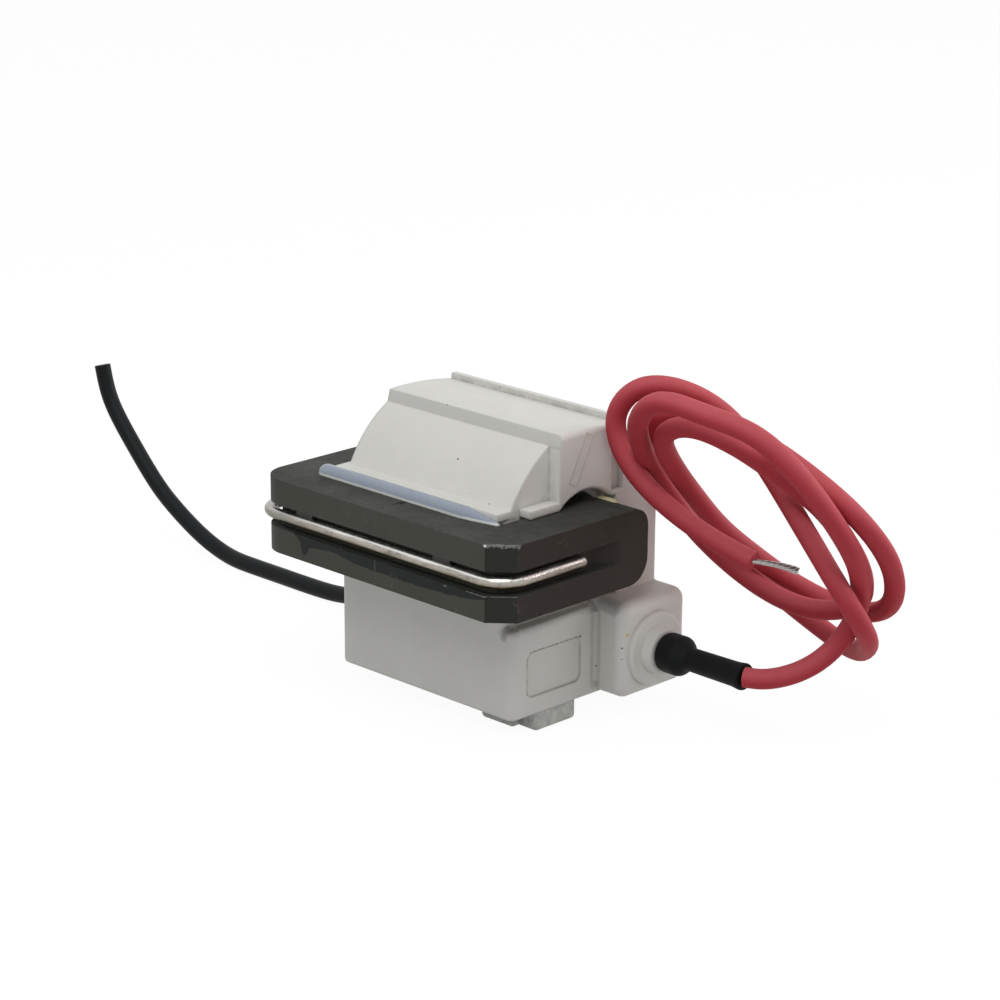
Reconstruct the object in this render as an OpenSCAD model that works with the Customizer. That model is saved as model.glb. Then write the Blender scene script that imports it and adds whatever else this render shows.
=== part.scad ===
// Potted flyback transformer: ferrite U cores with a wire clip, moulded case and two leads.

/* [Core] */
// Overall length of the closed core
core_l = 60; // [48:0.5:80]
// Overall width from the square leg to the back of the round leg
core_w = 34.7; // [30:0.1:46]
// Height of the core
core_h = 13.2; // [10:0.1:18]
// Thickness of the square front leg
leg_t = 8.5; // [6:0.1:11]
// Thickness of the end yokes
yoke_t = 9.6; // [7:0.1:13]
// Corner bevel along the leg
bevel_x = 4; // [1:0.1:6]
// Corner bevel along the yoke
bevel_y = 3.6; // [1:0.1:6]
// Radius of the front corner of the left half
corner_r = 6; // [3:0.1:8]
// Thickness of the gap films between the two halves
film_t = 0.2; // [0.1:0.05:1]
// Height of the clip groove
groove_h = 4.2; // [3:0.1:6]

/* [Clip] */
// Wire diameter of the spring clip
wire_d = 2; // [1:0.1:2.8]
// Bend radius of the wire centre line
clip_bend = 5; // [3:0.1:8]
// Reach of the clip arms along the yokes
clip_reach = 20.5; // [12:0.5:24]
// How far the left bend of the clip stands off the core
clip_out = 1.7; // [0:0.1:2]

/* [Case] */
// Wall thickness of the moulded case
wall = 1.6; // [1.2:0.1:2]
// Gap between the front leg and the case front
front_gap = 2; // [1.5:0.1:4]
// Gap between yoke and case end inside the core window
end_gap = 0.8; // [0.3:0.1:2]
// Depth of the case behind the axis of the round leg
rear_w = 17.7; // [17.7:0.1:24]
// Depth of the lower box under the core
box_h = 21.3; // [20:0.1:30]
// Height of the rear section over the core top
top_h = 13; // [12.5:0.1:18]
// Radial gap between the round leg and the bore
bore_gap = 1.4; // [0.4:0.1:2]
// Length of the high-voltage block beyond the case end
hv_l = 6.5; // [4:0.1:10]
// Edge radius of the lower box
box_r = 1.4; // [0.8:0.1:1.6]
// Drop from the underside of the core to the top of the end pad
pad_drop = 5.4; // [2:0.1:7]

/* [Leads] */
// Diameter of the high-voltage lead
hv_d = 3.5; // [3:0.1:5]
// Diameter of the return lead
ret_d = 3.2; // [2:0.1:4]
// Diameter of the shrink sleeve at its thick end
bulb_d = 7; // [6:0.1:9]
// Length of the shrink sleeve
sleeve_l = 17.5; // [14:0.5:24]

/* [Feet] */
// Height of the cast feet under the lower box
foot_h = 3.7; // [3:0.1:8]

/* [Hidden] */
$fn = 64;
eps = 0.02;
half = core_l / 2;
win_x = half - yoke_t;
round_d = core_h;
axis_y = core_w - round_d / 2;
axis_z = core_h / 2;
wire_r = wire_d / 2;
floor_in = wire_d;
bend_x = half - wire_r - clip_bend;
bend_y = wire_r + clip_bend;
groove_z0 = axis_z - groove_h / 2;
groove_z1 = axis_z + groove_h / 2;
ramp_y0 = clip_reach + 2.4;
ramp_y1 = clip_reach + 7.3;
x0 = -win_x + end_gap;
xe = win_x - end_gap - 0.1;
x1 = xe + 2.5;
y0 = leg_t + front_gap;
y1 = axis_y + rear_w;
case_w = y1 - y0;
z0 = -box_h;
step_y = axis_y - round_d / 2;
z_top = core_h + top_h;
z_step = z_top - 1.9;
z_flange = core_h + 1.5;
bore_r = round_d / 2 + bore_gap;
tube_r = bore_r + wall - 0.2;
pri_r = tube_r + 1;
sec_r = pri_r + 1.8;
wind_r = 15.6;
cav_r = wind_r + 0.6;
cav_x0 = x0 + wall;
cav_x1 = xe - wall;
bob_x = min(-cav_x0, cav_x1) - 0.9;
seat_gap = 0.15;
slots = 6;
slot_p = (2 * bob_x - 1) / slots;
pin_y = axis_y + 2;
hv_y = y1 - 7.5;
hv_z = -13.2;
hv_x1 = x1 + hv_l;
hv_y0 = hv_y - 7.5;
hv_y1 = hv_y + 8.7;
hv_z1 = hv_z + 9;
disc_t = 1;
hv_r = 2.2;
fillet_r = 0.7;
boss_r = 3.2;
disc_r = 6.5;
noz_x = hv_x1 + disc_t + 2;
noz_r = 3.9;
sleeve_x1 = noz_x + sleeve_l;
ret_y = y1 - 8.3;
ret_z = -15.5;
ret_x = x0 - 1;
resin_z = z0 + 0.8;
contact_r = 2;
contact_x = 13;
diode_x = -15;
diode_l = 14;
pin_x = -12;
pin_p = 7;
pin_l = 10;
slope = 0.8;
cover_y = axis_y + 3.9;
cover_z = axis_z - 1.5;
cover_r = top_h + 8.7;
flange_y1 = max(y0 + 2.9, cover_y - sqrt(pow(cover_r, 2) - pow(z_flange - cover_z, 2)) + 0.9);
lip_y = axis_y + 8.9;
lip_w = 1.2;
top_r = 60;
// Route of the high-voltage lead from the sleeve end, loose turns leaning on the case end
hv_route = [
    [0, 0, 0], [3, 1.5, 0], [5.5, 5.5, 0.5], [8, 9.5, 2.5], [10.5, 12.5, 6.5], [13.5, 12.5, 12.5],
    [17.5, 7.5, 20], [19.5, 1.5, 27], [19, -4, 34], [16, -8.5, 41], [10.5, -12, 46.5],
    [2.5, -14.5, 48.5], [-6, -15.5, 49.5], [-13, -13, 45], [-17.5, -8, 39], [-20.5, -1, 32],
    [-21, 5, 25], [-20.5, 11, 18], [-15.5, 15, 12], [-7.5, 16.5, 8.5], [0.5, 18, 7.5], [8, 19.5, 10],
    [11.5, 16, 16.5], [12.5, 11, 23], [9.5, 7, 30], [4.5, 2, 35.5], [2.5, -6, 41.5], [-4.5, -10, 44.5],
    [-12, -8.5, 41], [-14.5, -3, 34.5], [-15, 3.5, 27.5], [-14.5, 10, 20.5], [-12, 16.5, 14.5],
    [-7.5, 21.5, 9.5], [0.5, 24.5, 6.5], [9, 23, 8], [16, 18.5, 13], [19.5, 13.5, 20], [21, 7, 27],
    [19.5, 1, 33.5], [13, -1, 38], [3, 0.5, 40.5], [-6.5, 1.5, 41.5], [-14.5, -0.5, 43],
    [-21.5, -0.5, 40], [-24, 3, 33], [-25, 8, 26.5], [-23.5, 13.5, 20], [-21, 19, 13.5],
    [-16.5, 23.5, 7.5], [-10.5, 27.5, 2], [-3, 28.5, -1.5], [4.5, 24.5, -0.5], [10.5, 19, 3],
    [15, 13.5, 7], [17.5, 7.5, 12.5], [15.5, 4, 19], [9.5, 4, 25.5], [2, 6, 31], [-5.5, 8.5, 35.5],
    [-12, 8, 41], [-15.5, 1.5, 46], [-20.5, -4.5, 47], [-25, -6, 41], [-22, -5.5, 33.5], [-15, -4.5, 28],
    [-7.5, -2, 23.5], [1, 0, 20.5]];
// Route of the bare strand, from inside the cut end of that lead
strand_route = [[0.6, -0.2, 20.6], [2.2, 1.6, 20.2], [3.4, 3.2, 19.8], [4.6, 4.8, 19.2], [5.6, 6, 18.6]];
strand_d = 1.2;
// Route of the return lead from its outlet, end turned up off the table
ret_route = [[0, 0, 0], [-5, 0, -0.2], [-13, 0, -2.6], [-21, 0, -5.7], [-29, 0, -7.5], [-37, 0, -7.9],
    [-46, 0, -7.9], [-55, 0, -7.9], [-62, 0, -7.6], [-70, 0, -5.4], [-78, 0, -1.5], [-84, 0, 2.4],
    [-90, 0, 8], [-96, 0, 14.2], [-99, 0, 18.8], [-100.5, 0, 24]];
foot_z = z0 - foot_h;
x_lo = -half - clip_out;
x_hi = noz_x;
y_lo = 0;
y_hi = hv_y1;
shift = [-(x_lo + x_hi) / 2, -(y_lo + y_hi) / 2, -foot_z];

module place() {
    translate(shift) children();
}

// Rounded rectangle from two corners, one radius for each corner
module rrect(ax, ay, bx, by, r) {
    translate([ax + r, ay]) square([bx - ax - 2 * r, by - ay]);
    translate([ax, ay + r]) square([bx - ax, by - ay - 2 * r]);
    for (px = [ax + r, bx - r])
        for (py = [ay + r, by - r])
            translate([px, py]) circle(r = r);
}

// Box from two corners with all its edges rounded
module soft_box(a, b, r) {
    translate([0, 0, a[2] + r]) linear_extrude(b[2] - a[2] - 2 * r) rrect(a[0], a[1], b[0], b[1], r);
    along_y(a[1] + r, b[1] - r) rrect(a[0], a[2], b[0], b[2], r);
    along_x(a[0] + r, b[0] - r) rrect(a[1], a[2], b[1], b[2], r);
    for (x = [a[0] + r, b[0] - r])
        for (y = [a[1] + r, b[1] - r])
            for (z = [a[2] + r, b[2] - r])
                translate([x, y, z]) sphere(r = r);
}

// Extrusion along X of a profile drawn in Y and Z
module along_x(ax, bx) {
    translate([ax, 0, 0]) rotate([90, 0, 90]) linear_extrude(bx - ax) children();
}

// Extrusion along Y of a profile drawn in X and Z
module along_y(ay, by) {
    translate([0, by, 0]) rotate([90, 0, 0]) linear_extrude(by - ay) children();
}

// Plan of what stays inside the clip groove
module groove_floor_plan() {
    translate([-bend_x, floor_in]) square([2 * bend_x, 60]);
    translate([-half + floor_in, bend_y]) square([core_l - 2 * floor_in, 60]);
    for (s = [-1, 1]) {
        translate([s * bend_x, bend_y]) circle(r = clip_bend - wire_r);
        polygon([[s * (half - floor_in - 1), ramp_y0 - 1], [s * (half - floor_in), ramp_y0],
                 [s * half, ramp_y1], [s * half, 60], [s * (half - floor_in - 1), 60]]);
    }
}

// One ferrite half, drawn at the right, its front corner bevelled or rounded
module core_half(bevelled) {
    difference() {
        union() {
            intersection() {
                linear_extrude(core_h) difference() {
                    union() {
                        translate([film_t / 2, 0]) square([half - film_t / 2, leg_t]);
                        translate([win_x, 0]) square([yoke_t, core_w]);
                        difference() {
                            translate([win_x - 2, leg_t - 1]) square([3, 3]);
                            translate([win_x - 2, leg_t + 2]) circle(r = 2);
                        }
                    }
                    if (bevelled)
                        polygon([[half - bevel_x, -1], [half - bevel_x, 0], [half, bevel_y],
                                 [half + 1, bevel_y], [half + 1, -1]]);
                    else
                        difference() {
                            translate([half - corner_r, -1]) square([corner_r + 1, corner_r + 1]);
                            translate([half - corner_r, corner_r]) circle(r = corner_r);
                        }
                }
                along_x(-1, half + 1) union() {
                    translate([-1, 0]) square([core_w - 4, core_h]);
                    translate([-1, 4.5]) square([core_w + 1, core_h - 7.8]);
                    translate([core_w - 3.3, core_h - 3.3]) circle(r = 3.3);
                    translate([core_w - 4.5, 4.5]) circle(r = 4.5);
                }
            }
            translate([film_t / 2, axis_y, axis_z]) rotate([0, 90, 0])
                cylinder(d = round_d, h = win_x + 1 - film_t / 2);
        }
        translate([0, 0, groove_z0]) linear_extrude(groove_h) difference() {
            translate([-1, -1]) square([half + 2, 50]);
            groove_floor_plan();
        }
    }
}

module core_right() {
    color([0.24, 0.24, 0.23]) place() core_half(true);
}

module core_left() {
    color([0.25, 0.25, 0.24]) place() mirror([1, 0, 0]) core_half(false);
}

module gap_film_front() {
    color([0.75, 0.68, 0.5]) place()
        translate([-film_t / 2, 0, 0]) difference() {
            cube([film_t, leg_t, core_h]);
            translate([-1, -1, groove_z0]) cube([film_t + 2, floor_in + 1, groove_h]);
        }
}

module gap_film_round() {
    color([0.75, 0.68, 0.5]) place()
        translate([-film_t / 2, axis_y, axis_z]) rotate([0, 90, 0]) cylinder(d = round_d, h = film_t);
}

// Wire clip: front run, two bends and two arms with rounded tips
module clip() {
    color([0.72, 0.71, 0.68]) place() translate([0, 0, axis_z]) {
        translate([-bend_x - clip_out, wire_r, 0]) rotate([0, 90, 0])
            cylinder(d = wire_d, h = 2 * bend_x + clip_out);
        for (s = [-1, 1]) {
            out = s < 0 ? clip_out : 0;
            translate([s * (bend_x + out), bend_y, 0]) rotate([0, 0, s > 0 ? 270 : 180])
                rotate_extrude(angle = 90) translate([clip_bend, 0]) circle(r = wire_r);
            translate([s * (half - wire_r + out), bend_y, 0]) rotate([-90, 0, 0])
                cylinder(d = wire_d, h = clip_reach - wire_r - bend_y);
            translate([s * (half - wire_r + out), clip_reach - wire_r, 0]) sphere(r = wire_r);
        }
    }
}

// Shim wedged between the wire and the upper side of the groove
module shim(cx) {
    translate([cx - 2, 0.9, axis_z + wire_r])
        cube([4, floor_in - 0.9, groove_z1 - axis_z - wire_r]);
}

module shim_left() {
    color([0.42, 0.41, 0.39]) place() shim(-0.62 * half);
}

module shim_right() {
    color([0.42, 0.41, 0.39]) place() shim(0.5 * half);
}

// Side outline of the rear section, its front sloping back a little
module rear_outline() {
    intersection() {
        polygon([[step_y, 0], [step_y, z_step], [step_y + slope, z_top + 1],
                 [y1 + 9, z_top + 1], [y1 + 9, 0]]);
        translate([axis_y - 2, z_top + 0.1 - top_r]) circle(r = top_r, $fn = 128);
        union() {
            translate([axis_y, axis_z + 0.9]) circle(r = rear_w);
            square([lip_y + lip_w / 2, z_top + 1]);
            square([y1, axis_z + 0.9]);
        }
    }
}

// Side outline of the case over the core level
module upper_outline() {
    intersection() {
        translate([cover_y, cover_z]) circle(r = cover_r);
        translate([y0 + 1.5, 0]) square([step_y - y0 - 1, z_step]);
    }
    rear_outline();
    translate([lip_y, axis_z]) square([lip_w, z_top + 0.1 - axis_z]);
}

// Corner fillet in a profile: at the case end, on one side of a level
module fillet_at(x, level, side) {
    difference() {
        translate([x - 0.5, side > 0 ? level - 0.5 : level - fillet_r])
            square([fillet_r + 0.5, fillet_r + 0.5]);
        translate([x + fillet_r, level + side * fillet_r]) circle(r = fillet_r);
    }
}

module case_solid() {
    // Lower box, and the pad on its end under the core
    difference() {
        union() {
            soft_box([x0 - 0.5, y0, z0 - box_r / 2], [xe, y1, 4], box_r);
            soft_box([xe - 2 * box_r, y0, z0 - box_r / 2], [x1, y1, -pad_drop], box_r);
        }
        translate([-2 * half, 0, z0 - box_r]) cube([4 * half, 2 * y1, box_r]);
    }
    along_y(y0 + box_r, y1 - box_r) fillet_at(xe, -pad_drop, 1);
    // Body between the yokes and the curved cover over it
    translate([0, 0, -6]) linear_extrude(core_h + 6) rrect(x0, y0, xe, y1, box_r);
    along_x(x0, xe) upper_outline();
    // End wall over and behind the right yoke
    intersection() {
        along_x(xe - 1, x1) difference() {
            union() {
                rear_outline();
                translate([axis_y + 4, -pad_drop - box_r])
                    square([y1 - axis_y - 4, axis_z + 0.9 + pad_drop + box_r]);
            }
            translate([0, -20]) square([core_w + 0.5, 20 + core_h + seat_gap]);
        }
        translate([0, 0, -2 * half]) linear_extrude(4 * half) rrect(x0 - 5, y0 - 5, x1, y1, 0.5);
        along_y(-1, y1 + 9) rrect(x0 - 5, -2 * half, x1, z_top + 0.1, 1);
    }
    // Front flange and side tab
    translate([-win_x + 0.2, leg_t + 0.8, core_h + 0.2])
        cube([win_x + xe - 0.1, flange_y1 - leg_t - 0.8, z_flange - core_h - 0.2]);
    translate([xe - 1, y0 + 4, core_h + seat_gap]) cube([x1 - xe + 1.1, step_y - y0 - 3.5, 1.5 - seat_gap]);
    // High-voltage block with a fillet round its foot, disc and nozzle
    soft_box([x1 - 8, hv_y0, z0], [hv_x1, hv_y1, hv_z1], hv_r);
    translate([0, 0, z0 + hv_r]) linear_extrude(hv_z1 - z0 - 2 * hv_r) fillet_at(x1, hv_y0, -1);
    along_y(core_w + 0.5, y1 - 0.5) fillet_at(x1, hv_z1, 1);
    translate([hv_x1 - 1, hv_y, hv_z]) rotate([0, 90, 0]) cylinder(r = disc_r, h = 1 + disc_t - 0.4);
    translate([hv_x1 + disc_t - 0.4, hv_y, hv_z]) rotate([0, 90, 0])
        cylinder(r1 = disc_r, r2 = disc_r - 0.4, h = 0.4);
    translate([hv_x1, hv_y, hv_z]) rotate([0, 90, 0])
        cylinder(r1 = noz_r + 0.5, r2 = noz_r, h = noz_x - hv_x1);
    // Raised outline of a bar on the end of the rear section
    along_x(x1 - 0.5, x1 + 0.08) translate([axis_y - 4.45, core_h + 4.5]) rotate(-27) difference() {
        square([2.1, 9.1]);
        translate([0.2, 0.2]) square([1.7, 8.7]);
    }
    // Boss of the return lead
    translate([ret_x, ret_y, ret_z]) rotate([0, 90, 0]) cylinder(r = boss_r, h = 2);
}

// Space for the windings and the resin, open at the bottom
module cavity() {
    translate([cav_x0, axis_y, axis_z]) rotate([0, 90, 0]) cylinder(r = cav_r, h = cav_x1 - cav_x0);
    translate([cav_x0, y0 + wall, z0 - 1]) cube([cav_x1 - cav_x0, case_w - 2 * wall, box_h + 4]);
    translate([cav_x0, y0 + wall, z0 - 1])
        cube([x1 - wall - cav_x0, case_w - 2 * wall, box_h + 1 - pad_drop - wall]);
}

module case_shell() {
    color([0.86, 0.86, 0.84]) place() difference() {
        case_solid();
        difference() {
            cavity();
            translate([x0, axis_y, axis_z]) rotate([0, 90, 0]) cylinder(r = tube_r, h = x1 - x0);
        }
        translate([x0 - 1, axis_y, axis_z]) rotate([0, 90, 0]) cylinder(r = bore_r, h = x1 - x0 + 2);
        // Wider mouth of the bore, an arch over the right yoke
        translate([cav_x1 + 0.2, axis_y, axis_z]) rotate([0, 90, 0])
            cylinder(r = bore_r + 1, h = x1 - cav_x1 + 1);
        translate([x1 - 0.4, axis_y, axis_z]) rotate([0, 90, 0])
            cylinder(r1 = bore_r + 1, r2 = bore_r + 1.5, h = 0.5);
        // Passage of the high-voltage contact
        translate([cav_x1 - 1, hv_y, hv_z]) rotate([0, 90, 0])
            cylinder(r = contact_r, h = noz_x - cav_x1 + 2);
        // Sunk panel on the end of the lower box
        along_x(x1 - 0.4, x1 + 1) rrect(y0 + 3.7, z0 + 3.2, y0 + 16.7, z0 + 11.2, 1.4);
        // Upright slot on the end of the rear section
        translate([x1 - 1, axis_y + 6.1, core_h + 1]) cube([2, 2.6, 9]);
    }
}

module primary_bobbin() {
    color([0.2, 0.35, 0.3]) place() translate([-bob_x, axis_y, axis_z]) rotate([0, 90, 0]) difference() {
        union() {
            cylinder(r = pri_r, h = 2 * bob_x);
            cylinder(r = sec_r, h = 1);
            translate([0, 0, 2 * bob_x - 1]) cylinder(r = sec_r, h = 1);
        }
        translate([0, 0, -1]) cylinder(r = tube_r, h = 2 * bob_x + 2);
    }
}

module primary_winding() {
    color([0.72, 0.38, 0.16]) place() translate([1 - bob_x, axis_y, axis_z]) rotate([0, 90, 0]) difference() {
        cylinder(r = sec_r, h = 2 * bob_x - 2);
        translate([0, 0, -1]) cylinder(r = pri_r, h = 2 * bob_x);
    }
}

// Sleeve with thin walls between the winding sections
module secondary_bobbin() {
    color([0.8, 0.8, 0.74]) place() translate([-bob_x, axis_y, axis_z]) rotate([0, 90, 0]) difference() {
        union() {
            cylinder(r = sec_r + 1, h = 2 * bob_x);
            for (i = [0 : slots]) translate([0, 0, i * slot_p]) cylinder(r = wind_r, h = 1);
        }
        translate([0, 0, -1]) cylinder(r = sec_r, h = 2 * bob_x + 2);
        translate([sec_r + 1, -1, 1]) cube([8, 2, 2 * bob_x - 2]);
    }
}

// Sections filled flush with the walls and joined by a crossover
module secondary_winding() {
    color([0.6, 0.28, 0.12]) place() translate([-bob_x, axis_y, axis_z]) rotate([0, 90, 0]) difference() {
        union() {
            for (i = [0 : slots - 1]) translate([0, 0, i * slot_p + 1]) cylinder(r = wind_r, h = slot_p - 1);
            intersection() {
                cylinder(r = wind_r, h = 2 * bob_x - 1);
                translate([sec_r + 1, -1, 1]) cube([8, 2, 2 * bob_x - 2]);
            }
        }
        translate([0, 0, -1]) cylinder(r = sec_r + 1, h = 2 * bob_x + 2);
    }
}

// Stick diode with its two leads
module diode(ax) {
    translate([ax, hv_y, hv_z]) rotate([0, 90, 0]) {
        cylinder(r = 0.4, h = diode_l);
        translate([0, 0, 2.5]) cylinder(r = 1.6, h = diode_l - 5);
    }
}

module diode_a() {
    color([0.15, 0.15, 0.16]) place() diode(diode_x);
}

module diode_b() {
    color([0.15, 0.15, 0.16]) place() diode(diode_x + diode_l);
}

// Rod from the diodes to the outlet
module contact_rod() {
    translate([contact_x, hv_y, hv_z]) rotate([0, 90, 0]) cylinder(r = contact_r, h = noz_x - contact_x);
}

module hv_contact() {
    color([0.78, 0.62, 0.3]) place() contact_rod();
}

module pin(cx) {
    translate([cx, pin_y, foot_z + 0.8]) cylinder(d = 1, h = pin_l);
}

module pin_1() {
    color([0.75, 0.75, 0.73]) place() pin(pin_x);
}

module pin_2() {
    color([0.75, 0.75, 0.73]) place() pin(pin_x + pin_p);
}

module pin_3() {
    color([0.75, 0.75, 0.73]) place() pin(pin_x + 2 * pin_p);
}

module pin_4() {
    color([0.75, 0.75, 0.73]) place() pin(pin_x + 3 * pin_p);
}

// Block of cast resin standing under the box
module foot(ax, ay, bx, by, lift = 0) {
    soft_box([ax, ay, foot_z + lift], [bx, by, z0 + 5], 0.9);
}

module potting() {
    color([0.5, 0.5, 0.48]) place() difference() {
        union() {
            intersection() {
                cavity();
                translate([-60, -60, resin_z]) cube([120, 120, 120]);
            }
            intersection() {
                union() {
                    foot(x1 - 7.5, y0 + 6.4, x1 - 0.5, y0 + 16.3);
                    foot(x1 - 11.8, y0 + 4.3, x1 - 4, y0 + 11.5, 0.3);
                    foot(x0 + 2, y0 + 9.5, x0 + 14, y0 + 18);
                    foot(-5, y1 - 11, 7, y1 - 2.6);
                }
                union() {
                    translate([-60, -60, foot_z - 1]) cube([120, 120, foot_h + 1]);
                    cavity();
                }
            }
        }
        translate([x0 - 5, axis_y, axis_z]) rotate([0, 90, 0]) cylinder(r = tube_r, h = x1 - x0 + 10);
        translate([-bob_x, axis_y, axis_z]) rotate([0, 90, 0]) cylinder(r = wind_r, h = 2 * bob_x);
        diode(diode_x);
        diode(diode_x + diode_l);
        contact_rod();
        for (k = [0 : 3]) pin(pin_x + k * pin_p);
    }
}

// Silicone bead along the flange: round at its left end, drawn out at its right end
module glue_bead() {
    bead_r = 1.55;
    rise = 0.15;
    color([0.78, 0.82, 0.88]) place() difference() {
        intersection() {
            translate([-win_x - 0.8, leg_t + 0.2, core_h + rise]) union() {
                sphere(r = bead_r);
                rotate([0, 90, 0]) cylinder(r = bead_r, h = win_x + 13.5);
                translate([win_x + 13.5, 0, 0]) rotate([0, 90, 0])
                    cylinder(r1 = bead_r, r2 = 0.3, h = win_x - 12.6);
            }
            translate([-half, 0, core_h]) cube([core_l, y1, 5]);
        }
        translate([-win_x + 0.2, leg_t + 0.8, core_h - 1]) cube([win_x + xe - 0.1, 5, 5]);
        translate([x0, y0, core_h - 1]) cube([core_l, 10, 5]);
    }
}

// Smear of adhesive along the back of the right yoke, against the case
module adhesive() {
    color([0.86, 0.84, 0.6]) place() difference() {
        translate([x1 - 0.9, core_w - 2.1, core_h - 0.5]) union() {
            sphere(r = 0.8);
            rotate([0, 90, 0]) cylinder(r = 0.8, h = 3);
            translate([3, 0, 0]) sphere(r = 0.8);
        }
        core_half(true);
        case_solid();
    }
}

// Shrink sleeve: thick over the outlet, drawn in to the lead, a little wider at its end
module sleeve() {
    neck_r = hv_d / 2 + 0.3;
    bulb_r = bulb_d / 2;
    color([0.1, 0.1, 0.1]) place() translate([noz_x, hv_y, hv_z]) rotate([0, 90, 0]) rotate_extrude()
        polygon([[0, 0], [bulb_r - 0.7, 0], [bulb_r - 0.15, 0.35], [bulb_r, 1],
                 for (k = [0 : 12]) [neck_r + (bulb_r - neck_r) * (1 + cos(15 * k)) / 2, 3.4 + 0.22 * k],
                 [neck_r + 0.1, sleeve_l - 2], [neck_r + 0.3, sleeve_l - 0.3], [neck_r + 0.2, sleeve_l],
                 [0, sleeve_l]]);
}

// Points of one ring about a route point, square to the route
function unit(v) = v / norm(v);
function heading(p, i) = unit(p[min(i + 1, len(p) - 1)] - p[max(i - 1, 0)]);
function side(t) = unit(cross(t, abs(t[2]) > 0.9 ? [1, 0, 0] : [0, 0, 1]));
function ring(c, t, r, n) = let (u = side(t), w = cross(t, u))
    [for (k = [0 : n - 1]) c + r * (cos(360 * k / n) * u + sin(360 * k / n) * w)];

// Round tube along a route
module tube(p, d, n = 8) {
    m = len(p);
    polyhedron(
        points = [for (i = [0 : m - 1]) each ring(p[i], heading(p, i), d / 2, n)],
        faces = [
            [for (k = [0 : n - 1]) k],
            [for (k = [n - 1 : -1 : 0]) (m - 1) * n + k],
            for (i = [0 : m - 2]) for (k = [0 : n - 1])
                [i * n + k, (i + 1) * n + k, (i + 1) * n + (k + 1) % n, i * n + (k + 1) % n]
        ]);
}

// High-voltage lead: from the sleeve into a loose bundle of turns
module hv_lead() {
    color([0.7, 0.2, 0.24]) place() tube([for (p = hv_route) [sleeve_x1, hv_y, hv_z] + p], hv_d);
}

// Bared and tinned end of the high-voltage lead
module hv_strand() {
    color([0.75, 0.74, 0.72]) place() tube([for (p = strand_route) [sleeve_x1, hv_y, hv_z] + p], strand_d);
}

// Return lead: from the left end down to the table, its end turned up
module return_lead() {
    color([0.08, 0.08, 0.08]) place() tube([for (p = ret_route) [ret_x, ret_y, ret_z] + p], ret_d);
}

core_right();
core_left();
gap_film_front();
gap_film_round();
clip();
shim_left();
shim_right();
case_shell();
primary_bobbin();
primary_winding();
secondary_bobbin();
secondary_winding();
diode_a();
diode_b();
hv_contact();
pin_1();
pin_2();
pin_3();
pin_4();
potting();
glue_bead();
adhesive();
sleeve();
hv_lead();
hv_strand();
return_lead();
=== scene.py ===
"""Dressed scene of a potted flyback transformer: its leads, finishes, lamps and camera."""
from math import cos, pi, radians, sin

import bmesh
import bpy
from mathutils import Euler, Matrix, Vector


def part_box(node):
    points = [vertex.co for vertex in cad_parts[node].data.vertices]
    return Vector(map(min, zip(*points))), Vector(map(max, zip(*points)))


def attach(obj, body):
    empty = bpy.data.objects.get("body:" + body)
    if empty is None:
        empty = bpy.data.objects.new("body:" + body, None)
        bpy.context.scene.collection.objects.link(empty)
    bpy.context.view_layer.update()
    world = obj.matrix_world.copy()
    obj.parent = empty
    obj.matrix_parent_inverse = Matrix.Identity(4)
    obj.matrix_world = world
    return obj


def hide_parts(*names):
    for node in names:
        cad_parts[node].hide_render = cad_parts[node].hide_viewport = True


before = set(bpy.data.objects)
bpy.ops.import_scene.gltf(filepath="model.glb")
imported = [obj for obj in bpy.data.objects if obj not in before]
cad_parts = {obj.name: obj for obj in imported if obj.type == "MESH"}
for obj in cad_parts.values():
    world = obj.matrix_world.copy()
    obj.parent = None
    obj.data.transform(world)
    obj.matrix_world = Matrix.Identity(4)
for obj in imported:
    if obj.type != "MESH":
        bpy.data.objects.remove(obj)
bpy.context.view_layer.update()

bl_info = {
    "name": "Flyback transformer",
    "version": (1, 0, 0),
    "blender": (4, 5, 0),
    "location": "View3D > Sidebar > Flyback",
    "description": "Leads, finishes, lamps and camera of a potted flyback transformer",
    "category": "Object",
}

# Sizes and places, in metres
MM = 0.001
SLEEVE_LO, SLEEVE_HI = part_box("sleeve")
CORE_LO, CORE_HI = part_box("core_right")
CASE_LO, CASE_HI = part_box("case_shell")
CORE_HALF = 30 * MM
ORIGIN = Vector((CORE_HI.x - CORE_HALF, CORE_LO.y, CORE_LO.z))
HV_EXIT = Vector((SLEEVE_HI.x, (SLEEVE_LO.y + SLEEVE_HI.y) / 2, (SLEEVE_LO.z + SLEEVE_HI.z) / 2))
RETURN_LO, RETURN_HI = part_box("return_lead")
RETURN_DROP = 2.3 * MM
RETURN_EXIT = Vector((CASE_LO.x, (RETURN_LO.y + RETURN_HI.y) / 2, HV_EXIT.z - RETURN_DROP))
HV_DIAMETER = 3.5 * MM
RETURN_DIAMETER = 3.2 * MM
PART_MIDDLE = (CASE_LO + CASE_HI) / 2
SLAB_TOP = 4.7 * MM
VARNISH_TOP = 8 * MM

# How many solder pins there are
PIN_COUNT = 4

# How often a lead's line is made finer, and how often it is eased
FINER_ROUNDS = 3
EASING_ROUNDS = 10

# The bared end: its wires, how far they lie from the middle, and their turns
WIRE_DIAMETER = 0.42 * MM
WIRE_COUNT = 7
WIRES_START = 0.14 * MM
WIRES_END = 0.5 * MM
WIRE_TURNS = 1.2

# Width of the camera's sensor in millimetres, and the nearest that it sees in metres
SENSOR_WIDTH = 36
CLIP_START = 0.01

# Lamps and floor in metres, how white the floor shows, and how far that covers its shadow
LAMP_SIZE = 0.5
FRONT_LAMP = (0.15, -0.24, 0.55)
BACK_LAMP = (0.32, 0.52, 0.14)
FLOOR_HALF = 3.0
FLOOR_WHITE = 1.06
FLOOR_SHARE = 0.89

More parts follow.
